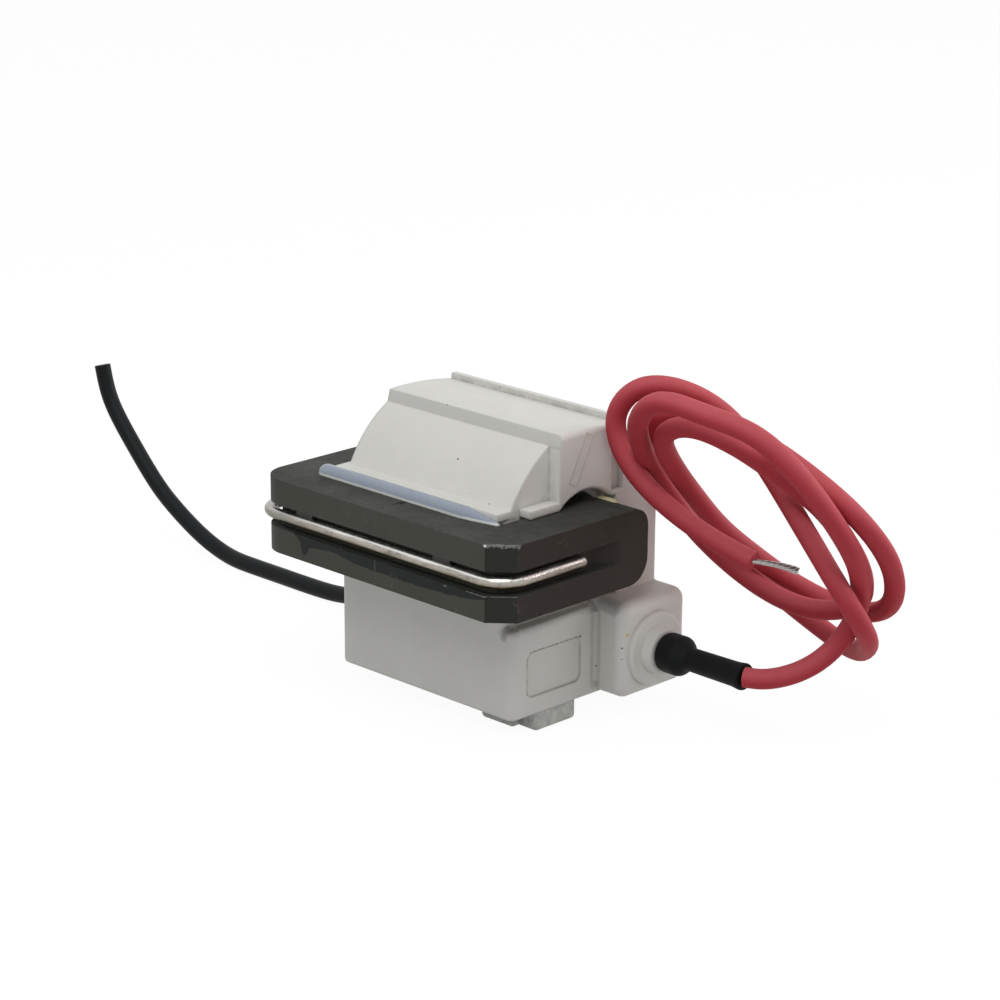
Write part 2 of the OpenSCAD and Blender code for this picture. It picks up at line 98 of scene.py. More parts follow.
# Stations of the leads in millimetres, from the point where each leaves the object
HV_ROUTE = (
    (0, 0, 0), (3, 1.5, 0), (5.5, 5.5, 0.5), (8, 9.5, 2.5), (10.5, 12.5, 6.5), (13.5, 12.5, 12.5),
    (17.5, 7.5, 20), (19.5, 1.5, 27), (19, -4, 34), (16, -8.5, 41), (10.5, -12, 46.5),
    (2.5, -14.5, 48.5), (-6, -15.5, 49.5), (-13, -13, 45), (-17.5, -8, 39), (-20.5, -1, 32),
    (-21, 5, 25), (-20.5, 11, 18), (-15.5, 15, 12), (-7.5, 16.5, 8.5), (0.5, 18, 7.5),
    (8, 19.5, 10), (11.5, 16, 16.5), (12.5, 11, 23), (9.5, 7, 30), (4.5, 2, 35.5), (2.5, -6, 41.5),
    (-4.5, -10, 44.5), (-12, -8.5, 41), (-14.5, -3, 34.5), (-15, 3.5, 27.5), (-14.5, 10, 20.5),
    (-12, 16.5, 14.5), (-7.5, 21.5, 9.5), (0.5, 24.5, 6.5), (9, 23, 8), (16, 18.5, 13),
    (19.5, 13.5, 20), (21, 7, 27), (19.5, 1, 33.5), (13, -1, 38), (3, 0.5, 40.5), (-6.5, 1.5, 41.5),
    (-14.5, -0.5, 43), (-21.5, -0.5, 40), (-24, 3, 33), (-25, 8, 26.5), (-23.5, 13.5, 20),
    (-21, 19, 13.5), (-16.5, 23.5, 7.5), (-10.5, 27.5, 2), (-3, 28.5, -1.5), (4.5, 24.5, -0.5),
    (10.5, 19, 3), (15, 13.5, 7), (17.5, 7.5, 12.5), (15.5, 4, 19), (9.5, 4, 25.5), (2, 6, 31),
    (-5.5, 8.5, 35.5), (-12, 8, 41), (-15.5, 1.5, 46), (-20.5, -4.5, 47), (-25, -6, 41),
    (-22, -5.5, 33.5), (-15, -4.5, 28), (-7.5, -2, 23.5), (1, 0, 20.5),
)
STRAND_ROUTE = (
    (0.6, -0.2, 20.6), (2.2, 1.6, 20.2), (3.4, 3.2, 19.8), (4.6, 4.8, 19.2), (5.6, 6, 18.6),
)
RETURN_ROUTE = (
    (0, 0, 0), (-5, 0, -0.2), (-13, 0, -2.6), (-21, 0, -5.7), (-29, 0, -7.5), (-37, 0, -7.9),
    (-46, 0, -7.9), (-55, 0, -7.9), (-62, 0, -7.6), (-70, 0, -5.4), (-78, 0, -1.5), (-84, 0, 2.4),
    (-90, 0, 8), (-96, 0, 14.2), (-99, 0, 18.8), (-100.5, 0, 24),
)


def at(x, y, z):
    """A place in millimetres from the lower front edge of the core, in the middle of its length."""
    return ORIGIN + Vector((x, y, z)) * MM


def linear(red, green, blue):
    """A colour as the render needs it, from 8-bit display values."""
    channels = [c / 255 for c in (red, green, blue)]
    return tuple(c / 12.92 if c <= 0.04045 else ((c + 0.055) / 1.055) ** 2.4 for c in channels)


# Colours of the finishes
OFF_WHITE = linear(225, 224, 219)
FERRITE_GREY = linear(61, 62, 58)
LEAD_RED = linear(170, 57, 65)
# Painted highlight laid on the upward sides of the red lead
HIGHLIGHT_RED = linear(199, 92, 100)
LEAD_BLACK = linear(20, 21, 22)
STEEL = linear(168, 163, 155)


class LeadSettings(bpy.types.PropertyGroup):
    """Sizes and colours of the two leads."""

    hv_diameter: bpy.props.FloatProperty(
        name="High-voltage lead", description="Diameter of the red lead",
        default=HV_DIAMETER, unit="LENGTH")
    return_diameter: bpy.props.FloatProperty(
        name="Return lead", description="Diameter of the black lead",
        default=RETURN_DIAMETER, unit="LENGTH")
    red: bpy.props.FloatVectorProperty(
        name="Red", description="Colour of the high-voltage lead",
        default=LEAD_RED, size=3, subtype="COLOR", min=0, max=1)
    # A painted highlight: the paler colour laid on the upward sides of the red lead, where light
    # falls on it
    upper_highlight: bpy.props.FloatVectorProperty(
        name="Dusty red", description="Colour of the high-voltage lead where dust lies on it",
        default=HIGHLIGHT_RED, size=3, subtype="COLOR", min=0, max=1)
    black: bpy.props.FloatVectorProperty(
        name="Black", description="Colour of the return lead and the sleeve",
        default=LEAD_BLACK, size=3, subtype="COLOR", min=0, max=1)


class BodySettings(bpy.types.PropertyGroup):
    """Colours and edge softness of the case, the core and the clip."""

    plastic: bpy.props.FloatVectorProperty(
        name="Case", description="Colour of the moulded case",
        default=OFF_WHITE, size=3, subtype="COLOR", min=0, max=1)
    ferrite: bpy.props.FloatVectorProperty(
        name="Core", description="Colour of the ferrite",
        default=FERRITE_GREY, size=3, subtype="COLOR", min=0, max=1)
    steel: bpy.props.FloatVectorProperty(
        name="Clip", description="Colour of the clip wire",
        default=STEEL, size=3, subtype="COLOR", min=0, max=1)
    case_edge: bpy.props.FloatProperty(
        name="Case edges", description="Radius at which the case edges look rounded",
        default=0.7 * MM, unit="LENGTH")
    core_edge: bpy.props.FloatProperty(
        name="Core edges", description="Radius at which the core edges look rounded",
        default=0.25 * MM, unit="LENGTH")


class StageSettings(bpy.types.PropertyGroup):
    """Camera and light."""

    azimuth: bpy.props.FloatProperty(
        name="Azimuth", description="Turn of the camera about the part",
        default=radians(44.765), subtype="ANGLE")
    elevation: bpy.props.FloatProperty(
        name="Elevation", description="Height of the camera over the horizon",
        default=radians(17.245), subtype="ANGLE")
    roll: bpy.props.FloatProperty(
        name="Roll", description="Turn of the camera about its own line of sight",
        default=radians(0.341), subtype="ANGLE")
    lens: bpy.props.FloatProperty(
        name="Lens", description="Focal length in millimetres on a 36 mm sensor", default=108.67)
    place: bpy.props.FloatVectorProperty(
        name="Place", description="Where the camera stands",
        default=at(351.66, -324.91, 163.62), size=3, subtype="TRANSLATION")
    ambient: bpy.props.FloatProperty(
        name="Ambient", description="Strength of the even light from all round", default=0.41)
    key_power: bpy.props.FloatProperty(
        name="Front panel", description="Power of the lamp above the front in watts", default=1.65)
    fill_power: bpy.props.FloatProperty(
        name="Back panel", description="Power of the lamp behind the right end in watts", default=2.0)


# Node helpers
def fill(tree, node, inputs):
    """Links or sets the sockets of a node."""
    for key, value in inputs.items():
        if isinstance(value, bpy.types.NodeSocket):
            tree.links.new(value, node.inputs[key])
        else:
            node.inputs[key].default_value = value


def put(tree, kind, inputs=None, **settings):
    """Adds a shader node, sets its options and fills its sockets."""
    node = tree.nodes.new("ShaderNode" + kind)
    for name, value in settings.items():
        setattr(node, name, value)
    fill(tree, node, inputs or {})
    return node


def calc(tree, operation, first, second=0.0, clamp=False):
    """The result of a maths node on two values."""
    return put(tree, "Math", {0: first, 1: second}, operation=operation, use_clamp=clamp).outputs[0]


def ramp(tree, value, low, high, start=0.0, end=1.0):
    """A smooth step of a value from low to high."""
    inputs = {"Value": value, "From Min": low, "From Max": high, "To Min": start, "To Max": end}
    return put(tree, "MapRange", inputs, interpolation_type="SMOOTHSTEP").outputs[0]


def tint(tree, mask, under, over):
    """Mixes two colours by a mask."""
    def colour(value):
        return value if isinstance(value, bpy.types.NodeSocket) else (*value[:3], 1)
    inputs = {0: mask, 6: colour(under), 7: colour(over)}
    return put(tree, "Mix", inputs, data_type="RGBA").outputs[2]


def noise(tree, vector, scale, detail=2.0, rough=0.5):
    """A cloudy value from 0 to 1."""
    inputs = {"Vector": vector, "Scale": scale, "Detail": detail, "Roughness": rough}
    return put(tree, "TexNoise", inputs).outputs[0]


def group(name, inputs, outputs):
    """An empty shader node group with named sockets, its input node and its output node."""
    tree = bpy.data.node_groups.new(name, "ShaderNodeTree")
    for label, kind, value in inputs:
        socket = tree.interface.new_socket(label, in_out="INPUT", socket_type="NodeSocket" + kind)
        if value is not None:
            socket.default_value = value
    for label, kind in outputs:
        tree.interface.new_socket(label, in_out="OUTPUT", socket_type="NodeSocket" + kind)
    return tree, tree.nodes.new("NodeGroupInput"), tree.nodes.new("NodeGroupOutput")


def place(tree, build, inputs):
    """Places a shared effect, which is built on first use, and gives its outputs."""
    name = build.__name__
    node = tree.nodes.new("ShaderNodeGroup")
    node.node_tree = bpy.data.node_groups.get(name) or build(name)
    fill(tree, node, inputs)
    return node.outputs


# Effects that several finishes share
def soft_edges(name):
    """Rounded edge normals, and a mask of where the edges are."""
    tree, given, out = group(
        name, [("Radius", "Float", 0.0005)], [("Normal", "Vector"), ("Edge", "Float")])
    bevel = put(tree, "Bevel", {"Radius": given.outputs["Radius"]}, samples=8)
    flat = put(tree, "NewGeometry").outputs["Normal"]
    dot = put(tree, "VectorMath", {0: bevel.outputs[0], 1: flat}, operation="DOT_PRODUCT")
    edge = calc(tree, "SUBTRACT", 1.0, dot.outputs["Value"], clamp=True)
    tree.links.new(bevel.outputs[0], out.inputs["Normal"])
    tree.links.new(edge, out.inputs["Edge"])
    return tree


def specks(name):
    """Sparse small dots of uneven size, as dust and moulding specks leave."""
    tree, given, out = group(
        name, [("Vector", "Vector", None), ("Spacing", "Float", 0.004), ("Size", "Float", 0.0002)],
        [("Mask", "Float")])
    scale = calc(tree, "DIVIDE", 1.0, given.outputs["Spacing"])
    cells = put(tree, "TexVoronoi", {"Vector": given.outputs["Vector"], "Scale": scale})
    near = calc(tree, "DIVIDE", cells.outputs["Distance"], scale)
    pick = put(tree, "SeparateColor", {0: cells.outputs["Color"]})
    chance = ramp(tree, pick.outputs[0], 0.55, 1.0)
    size = calc(tree, "MULTIPLY", given.outputs["Size"], chance)
    gap = calc(tree, "SUBTRACT", size, near)
    mask = calc(tree, "MULTIPLY", gap, 20000.0, clamp=True)
    tree.links.new(mask, out.inputs["Mask"])
    return tree


def mottle(name):
    """Cloudy variation at two scales."""
    tree, given, out = group(
        name, [("Vector", "Vector", None), ("Scale", "Float", 100.0)], [("Value", "Float")])
    broad = noise(tree, given.outputs["Vector"], given.outputs["Scale"], 3, 0.55)
    fine_scale = calc(tree, "MULTIPLY", given.outputs["Scale"], 7.0)
    fine = noise(tree, given.outputs["Vector"], fine_scale, 4, 0.6)
    total = calc(tree, "ADD", calc(tree, "MULTIPLY", broad, 0.6), calc(tree, "MULTIPLY", fine, 0.4))
    tree.links.new(total, out.inputs["Value"])
    return tree


def spot(name):
    """A round spot of a given centre and radius."""
    tree, given, out = group(
        name, [("Vector", "Vector", None), ("Centre", "Vector", None), ("Radius", "Float", 0.001)],
        [("Mask", "Float")])
    far = put(tree, "VectorMath", {0: given.outputs["Vector"], 1: given.outputs["Centre"]},
              operation="DISTANCE").outputs["Value"]
    rim = calc(tree, "MULTIPLY", given.outputs["Radius"], 0.6)
    mask = ramp(tree, far, given.outputs["Radius"], rim)
    tree.links.new(mask, out.inputs["Mask"])
    return tree


def stroke(name):
    """A straight mark between two points, with an uneven edge."""
    tree, given, out = group(
        name, [("Vector", "Vector", None), ("From", "Vector", None), ("To", "Vector", None),
               ("Radius", "Float", 0.0005), ("Ragged", "Float", 0.5)],
        [("Mask", "Float")])
    along = put(tree, "VectorMath", {0: given.outputs["To"], 1: given.outputs["From"]},
                operation="SUBTRACT").outputs[0]
    offset = put(tree, "VectorMath", {0: given.outputs["Vector"], 1: given.outputs["From"]},
                 operation="SUBTRACT").outputs[0]
    reach = put(tree, "VectorMath", {0: offset, 1: along}, operation="DOT_PRODUCT").outputs["Value"]
    size = put(tree, "VectorMath", {0: along, 1: along}, operation="DOT_PRODUCT").outputs["Value"]
    part = calc(tree, "DIVIDE", reach, size, clamp=True)
    foot = put(tree, "VectorMath", {0: along, "Scale": part}, operation="SCALE").outputs[0]
    far = put(tree, "VectorMath", {0: offset, 1: foot}, operation="DISTANCE").outputs["Value"]
    wave = calc(tree, "SUBTRACT", noise(tree, given.outputs["Vector"], 1600.0, 4), 0.5)
    shake = calc(tree, "MULTIPLY", calc(tree, "MULTIPLY", wave, given.outputs["Ragged"]),
                 calc(tree, "MULTIPLY", given.outputs["Radius"], 4.0))
    far = calc(tree, "ADD", far, shake)
    rim = calc(tree, "MULTIPLY", given.outputs["Radius"], 0.5)
    mask = ramp(tree, far, given.outputs["Radius"], rim)
    tree.links.new(mask, out.inputs["Mask"])
    return tree


def corner_grime_and_shade(name):
    """Darkening that gathers in corners, broken up along them: grime and painted shade where it
    reaches a short way, painted shade where it reaches far.
    """
    tree, given, out = group(
        name, [("Vector", "Vector", None), ("Reach", "Float", 0.0008)], [("Mask", "Float")])
    shade = put(tree, "AmbientOcclusion", {"Distance": given.outputs["Reach"]},
                samples=8, only_local=True).outputs["AO"]
    deep = ramp(tree, shade, 0.72, 0.4)
    patchy = ramp(tree, noise(tree, given.outputs["Vector"], 420.0, 4), 0.3, 0.7, 0.3, 1.0)
    mask = calc(tree, "MULTIPLY", deep, patchy)
    tree.links.new(mask, out.inputs["Mask"])
    return tree


def scuffs(name):
    """Thin rub marks in loose patches."""
    tree, given, out = group(
        name, [("Vector", "Vector", None), ("Scale", "Float", 200.0)], [("Mask", "Float")])
    field = noise(tree, given.outputs["Vector"], given.outputs["Scale"], 2)
    off = calc(tree, "ABSOLUTE", calc(tree, "SUBTRACT", field, 0.5))
    line = ramp(tree, off, 0.012, 0.002)
    patch_scale = calc(tree, "MULTIPLY", given.outputs["Scale"], 0.9)
    patch = noise(tree, given.outputs["Vector"], patch_scale, 3)
    mask = calc(tree, "MULTIPLY", line, ramp(tree, patch, 0.52, 0.64))
    tree.links.new(mask, out.inputs["Mask"])
    return tree


def finish(name, roughness, metallic=0.0):
    """A new material with its tree, its Principled shader and its object coordinates."""
    material = bpy.data.materials.new(name)
    material.use_nodes = True
    tree = material.node_tree
    shader = tree.nodes["Principled BSDF"]
    shader.inputs["Roughness"].default_value = roughness
    shader.inputs["Metallic"].default_value = metallic
    coords = put(tree, "TexCoord").outputs["Object"]
    return material, tree, shader, coords


def relief(tree, shader, height, depth, strength, normal=None):
    """Bump of a height pattern, over rounded edges where there are any."""
    inputs = {"Height": height, "Distance": depth, "Strength": strength}
    if normal is not None:
        inputs["Normal"] = normal
    bump = put(tree, "Bump", inputs)
    tree.links.new(bump.outputs[0], shader.inputs["Normal"])


def mix_spots(tree, coords, colour, marks, mark_colour):
    """Lays single round marks, each a place and a radius in millimetres, over a colour."""
    for centre, radius in marks:
        inputs = {"Vector": coords, "Centre": at(*centre), "Radius": radius * MM}
        mask = place(tree, spot, inputs)
        colour = tint(tree, mask["Mask"], colour, mark_colour)
    return colour


def strokes(tree, coords, marks):
    """One mask of straight marks: each two places and a radius in millimetres, and its raggedness."""
    total = None
    for start, end, radius, ragged in marks:
        inputs = {"Vector": coords, "From": at(*start), "To": at(*end),
                  "Radius": radius * MM, "Ragged": ragged}
        mask = place(tree, stroke, inputs)["Mask"]
        total = mask if total is None else calc(tree, "MAXIMUM", total, mask)
    return total


# Marks on the case and the core
CASE_MARKS = (
    ((3.6, 15.9, 19.6), 0.22), ((27.7, 31.3, -11.9), 0.2), ((27.7, 31.3, -13.9), 0.14),
    ((22.3, 30.7, -16.3), 0.2), ((14.4, 12.6, 14.8), 0.14), ((9.5, 13, 15.5), 0.1),
    ((-7.5, 37, 25.9), 0.14), ((8.3, 34, 25.8), 0.16), ((-5.3, 22, 26.1), 0.16),
)
AMBER_SPOTS = (((28.2, 32, -9.6), 0.4),)
# Dark lines round the end panel, dirt with painted shade on the frame's top and left edges, and dirt
# along the step of the cover
DIRT_AND_SHADE_LINES = (
    ((21.8, 15, -10.1), (21.8, 27, -10.1), 0.36, 0.3),
    ((21.8, 14.2, -11), (21.8, 15, -10.1), 0.34, 0.3),
    ((21.8, 14.2, -11), (21.8, 14.2, -17.4), 0.3, 0.5),
    ((21.8, 26.9, -10.1), (21.8, 27, -10.1), 0.45, 0.2),
    ((-19.6, 21.5, 26.2), (19.5, 21.5, 26.2), 0.12, 0.9),
)
# Painted shade on the shoulder of the end panel under the core, and beside the block in its crease
# and under the core's corner
SHOULDER_PAINTED_SHADE = (
    ((20.9, 13.5, -5.1), (20.7, 29.5, -5), 1.15, 0.1),
    ((20, 10.9, -6.8), (21.1, 12.2, -5.3), 1.0, 0.1),
)
BLOCK_PAINTED_SHADE = (
    ((22.1, 30.5, -6), (22.1, 30.5, -19.5), 1.3, 0.1),
    ((22.8, 31.2, -5.2), (26, 31.2, -5.6), 1.3, 0.1),
)
# How far the darkening reaches out of the corners in millimetres, and how strong it is there: the
# short reach is grime with painted shade, the long reach is painted shade
CASE_GRIME_AND_SHADE = ((0.8, 0.28), (4, 0.3))
CORE_CHIPS = (
    ((26, 0.2, 13.2), (30, 3.8, 13.2), 0.5, 0.9),
    ((21.9, 0, 4.4), (26, 0, 4.4), 0.1, 0.8),
    ((26, 0, 4.5), (30, 3.6, 4.5), 0.09, 0.8),
    ((25.9, 0, 3.7), (26.9, 3.3, 4.7), 0.1, 0.6),
    ((16.6, 0, 4.1), (17.1, 0, 4.1), 0.14, 0.3),
)
BRIGHT_NICKS = (((26, 0, 13.1), 0.34), ((0, 7.1, 13.3), 0.3))
JOINT_LINE = (
    ((0, 5.6, 13.2), (0.1, 6.7, 13.2), 0.65, 0.3),
    ((-0.1, 4.6, 13.2), (0, 5.8, 13.2), 0.38, 0.4),
    ((-0.3, 1.6, 13.2), (0, 4.9, 13.2), 0.05, 0.4),
)
# Lower edge of the varnish on the front of the lower slab: place along the core and height
VARNISH_EDGE = (
    (-22.3, 5.2), (-18.8, 3.5), (-17.8, 1.2), (-16.2, 2.8), (-11, 3.3), (-3.7, 2.6), (6, 2.5),
    (15.7, 2.7), (25, 3.7),
)


# Finishes
def case_plastic():
    """White moulding with dots, marks and dirt, darker below the core as painted shade, and painted
    shade in its corners, on the end panel's shoulder and frame, beside the block and on the riser of
    the step.
    """
    body = bpy.context.scene.flyback_body
    material, tree, shader, coords = finish("case_plastic", 0.5)
    edges = place(tree, soft_edges, {"Radius": body.case_edge})
    cloud = place(tree, mottle, {"Vector": coords, "Scale": 60.0})["Value"]
    colour = tint(tree, ramp(tree, cloud, 0.35, 0.65),
                  body.plastic, [c * 0.965 for c in body.plastic])
    # Painted shade: the case is darkened below the core, where the core's overhang shades it
    spread = put(tree, "SeparateXYZ", {0: coords})
    lower_painted_shade = ramp(tree, spread.outputs[2], at(0, 0, 2).z, at(0, 0, -8).z, 0.0, 0.13)
    colour = tint(tree, lower_painted_shade, colour, (0, 0, 0))
    # Painted shade: the riser of the step on the cover, which faces the front, is darkened to stand
    # for the shade on it
    facing = put(tree, "SeparateXYZ", {0: put(tree, "TexCoord").outputs["Normal"]}).outputs[1]
    riser_painted_shade = calc(tree, "MULTIPLY", ramp(tree, facing, -0.86, -0.93),
                 ramp(tree, spread.outputs[2], at(0, 0, 23.6).z, at(0, 0, 24).z))
    riser_painted_shade = calc(tree, "MULTIPLY", riser_painted_shade,
                 ramp(tree, spread.outputs[1], at(0, 23, 0).y, at(0, 22.5, 0).y))
    colour = tint(tree, calc(tree, "MULTIPLY", riser_painted_shade, 0.17), colour, (0, 0, 0))
    dots = place(tree, specks, {"Vector": coords, "Spacing": 9 * MM, "Size": 0.13 * MM})
    colour = tint(tree, calc(tree, "MULTIPLY", dots["Mask"], 0.75), colour, linear(70, 64, 58))
    colour = mix_spots(tree, coords, colour, CASE_MARKS, linear(60, 52, 48))
    colour = mix_spots(tree, coords, colour, AMBER_SPOTS, linear(206, 184, 126))
    # Dirt, with painted shade on the top and left edges of the end panel's frame
    dirt_and_shade = calc(tree, "MULTIPLY", strokes(tree, coords, DIRT_AND_SHADE_LINES), 0.75)
    colour = tint(tree, dirt_and_shade, colour, linear(104, 94, 84))
    # Painted shade laid as soft strokes on the panel's shoulder and beside the block
    for marks, strength in ((SHOULDER_PAINTED_SHADE, 0.46), (BLOCK_PAINTED_SHADE, 0.26)):
        painted_shade = calc(tree, "MULTIPLY", strokes(tree, coords, marks), strength)
        colour = tint(tree, painted_shade, colour, linear(98, 88, 78))
    # Grime and painted shade in the corners and creases of the case
    for reach, strength in CASE_GRIME_AND_SHADE:
        grime_and_shade = place(tree, corner_grime_and_shade, {"Vector": coords, "Reach": reach * MM})["Mask"]
        colour = tint(tree, calc(tree, "MULTIPLY", grime_and_shade, strength), colour, linear(96, 88, 80))
    tree.links.new(colour, shader.inputs["Base Color"])
    tree.links.new(ramp(tree, cloud, 0.3, 0.7, 0.46, 0.58), shader.inputs["Roughness"])
    skin = noise(tree, coords, 900.0, 3)
    relief(tree, shader, skin, 0.02 * MM, 0.4, edges["Normal"])
    return material


def varnish_mask(tree, coords):
    """Where varnish ran down the front of the lower slab."""
    split = put(tree, "SeparateXYZ", {0: coords})
    ends = {"From Min": ORIGIN.x - CORE_HALF, "From Max": ORIGIN.x + CORE_HALF}
    along = put(tree, "MapRange", {"Value": split.outputs[0], **ends}).outputs[0]
    edge = put(tree, "FloatCurve", {"Value": along})
    curve = edge.mapping.curves[0]
    curve.points[0].location = (0, 1)
    curve.points[1].location = (1, 1)
    for x, z in VARNISH_EDGE:
        curve.points.new((x * MM + CORE_HALF) / (2 * CORE_HALF), z * MM / VARNISH_TOP)
    edge.mapping.update()
    height = calc(tree, "SUBTRACT", split.outputs[2], ORIGIN.z)
    limit = calc(tree, "MULTIPLY", edge.outputs[0], VARNISH_TOP)
    over = calc(tree, "SUBTRACT", height, limit)
    wave = calc(tree, "SUBTRACT", noise(tree, coords, 500.0, 3), 0.5)
    wave = calc(tree, "MULTIPLY", wave, 0.6 * MM)
    inside = ramp(tree, calc(tree, "ADD", over, wave), -0.06 * MM, 0.06 * MM)
    below = ramp(tree, height, SLAB_TOP, SLAB_TOP - 0.1 * MM)
    front = ramp(tree, split.outputs[1], at(0, 0.5, 0).y, at(0, 0.3, 0).y)
    return calc(tree, "MULTIPLY", calc(tree, "MULTIPLY", inside, below), front)


def ferrite():
    """Grey sintered core with a varnish run, worn edges, pits and a dark notch at its joint, with
    painted shade on its bevels and right end faces and painted light on its front faces.
    """
    body = bpy.context.scene.flyback_body
    material, tree, shader, coords = finish("ferrite", 0.55)
    shader.inputs["Specular IOR Level"].default_value = 0.1
    edges = place(tree, soft_edges, {"Radius": body.core_edge})
    cloud = place(tree, mottle, {"Vector": coords, "Scale": 110.0})["Value"]
    colour = tint(tree, ramp(tree, cloud, 0.3, 0.7),
                  [c * 0.8 for c in body.ferrite], [c * 1.18 for c in body.ferrite])
    facing = put(tree, "SeparateXYZ", {0: put(tree, "TexCoord").outputs["Normal"]})
    # Painted shade: the bevels and the right end faces, turned away from the light, are darkened
    colour = tint(tree, ramp(tree, facing.outputs[0], 0.5, 0.62), colour, linear(47, 48, 43))
    colour = tint(tree, ramp(tree, facing.outputs[0], 0.75, 0.95), colour, linear(53, 48, 44))
    # Painted light: the front faces are lightened as where light falls on them
    front = ramp(tree, facing.outputs[1], -0.8, -0.95)
    colour = tint(tree, calc(tree, "MULTIPLY", front, 0.8), colour, linear(76, 77, 70))
    varnish = varnish_mask(tree, coords)
    colour = tint(tree, calc(tree, "MULTIPLY", varnish, 0.92), colour, linear(30, 34, 33))
    chips = noise(tree, coords, 1400.0, 3)
    worn = calc(tree, "MULTIPLY", ramp(tree, edges["Edge"], 0.02, 0.12),
                ramp(tree, chips, 0.56, 0.66))
    colour = tint(tree, calc(tree, "MULTIPLY", worn, 0.4), colour, linear(128, 128, 122))
    bright = calc(tree, "MULTIPLY", strokes(tree, coords, CORE_CHIPS),
                  ramp(tree, chips, 0.3, 0.55, 0.45, 1.0))
    colour = tint(tree, bright, colour, linear(124, 126, 121))
    rubs = place(tree, scuffs, {"Vector": coords, "Scale": 190.0})["Mask"]
    colour = tint(tree, calc(tree, "MULTIPLY", rubs, 0.22), colour, linear(118, 118, 112))
    pits = place(tree, specks, {"Vector": coords, "Spacing": 2.2 * MM, "Size": 0.13 * MM})
    colour = tint(tree, calc(tree, "MULTIPLY", pits["Mask"], 0.7), colour, linear(26, 25, 23))
    colour = mix_spots(tree, coords, colour, BRIGHT_NICKS, linear(226, 226, 222))
    joint = strokes(tree, coords, JOINT_LINE)
    colour = tint(tree, joint, colour, linear(4, 4, 4))
    tree.links.new(colour, shader.inputs["Base Color"])
    rough = ramp(tree, cloud, 0.3, 0.7, 0.62, 0.5)
    rough = calc(tree, "SUBTRACT", rough, calc(tree, "MULTIPLY", varnish, 0.22))
    rough = calc(tree, "MAXIMUM", rough, joint)
    tree.links.new(rough, shader.inputs["Roughness"])
    grain = noise(tree, coords, 2200.0, 4, 0.65)
    relief(tree, shader, grain, 0.04 * MM, 0.5, edges["Normal"])
    return material


def clip_steel():
    """Drawn wire with fine lines, a painted highlight on top, brownish below as painted shade and
    reflection of the core with some grime, and duller at the left.
    """
    body = bpy.context.scene.flyback_body
    material, tree, shader, coords = finish("clip_steel", 0.25, 1.0)
    cloud = place(tree, mottle, {"Vector": coords, "Scale": 160.0})["Value"]
    drawn = put(tree, "Mapping", {"Vector": coords, "Scale": (0.06, 1, 1)}).outputs[0]
    lines = noise(tree, drawn, 3200.0, 3, 0.6)
    colour = tint(tree, ramp(tree, cloud, 0.5, 0.68), body.steel, [c * 0.55 for c in body.steel])
    colour = tint(tree, ramp(tree, lines, 0.6, 0.72), colour, [c * 0.35 for c in body.steel])
    # Painted highlight on the upward side of the wire, and painted shade and reflection of the core,
    # with some grime, on its underside
    facing = put(tree, "SeparateXYZ", {0: put(tree, "TexCoord").outputs["Normal"]}).outputs[2]
    highlight_and_shade_band = calc(tree, "ADD", facing, calc(tree, "MULTIPLY", calc(tree, "SUBTRACT", lines, 0.5), 0.9))
    colour = tint(tree, ramp(tree, highlight_and_shade_band, 0.35, 0.7), colour, linear(232, 230, 226))
    colour = tint(tree, ramp(tree, highlight_and_shade_band, 0.05, -0.6), colour, linear(104, 92, 68))
    along = put(tree, "SeparateXYZ", {0: coords}).outputs[0]
    dull = ramp(tree, along, at(-8, 0, 0).x, at(-30, 0, 0).x, 0.0, 0.6)
    colour = tint(tree, dull, colour, linear(104, 102, 98))
    tree.links.new(colour, shader.inputs["Base Color"])
    tree.links.new(ramp(tree, cloud, 0.35, 0.7, 0.26, 0.42), shader.inputs["Roughness"])
    relief(tree, shader, lines, 0.008 * MM, 0.5)
    return material


def silicone_bead():
    """Bluish translucent bead with a pale rim along the core, partly a pale film and partly a painted
    highlight.
    """
    material, tree, shader, coords = finish("silicone_bead", 0.2)
    cloud = place(tree, mottle, {"Vector": coords, "Scale": 150.0})["Value"]
    colour = tint(tree, cloud, linear(138, 149, 166), linear(162, 172, 186))
    # The pale rim along the core is partly a pale film and partly a painted highlight
    height = put(tree, "SeparateXYZ", {0: coords}).outputs[2]
    rim = ramp(tree, height, at(0, 0, 13.75).z, at(0, 0, 13.5).z)
    colour = tint(tree, rim, colour, linear(244, 245, 243))
    tree.links.new(colour, shader.inputs["Base Color"])
    shader.inputs["Subsurface Weight"].default_value = 0.25
    shader.inputs["Subsurface Radius"].default_value = (0.6 * MM, 0.6 * MM, 0.7 * MM)
    shader.inputs["Subsurface Scale"].default_value = 1.0
    relief(tree, shader, noise(tree, coords, 260.0, 2), 0.15 * MM, 0.3)
    return material


def plain(name, colour, roughness, metallic=0.0, spread=0.15, scale=300.0, grain=1500.0, depth=0.03):
    """A finish with cloudy colour and a fine grain, for the smaller pieces."""
    material, tree, shader, coords = finish(name, roughness, metallic)
    cloud = place(tree, mottle, {"Vector": coords, "Scale": scale})["Value"]
    base = tint(tree, ramp(tree, cloud, 0.3, 0.7),
                [c * (1 - spread) for c in colour], [c * (1 + spread) for c in colour])
    tree.links.new(base, shader.inputs["Base Color"])
    relief(tree, shader, noise(tree, coords, grain, 3), depth * MM, 0.6)
    return material


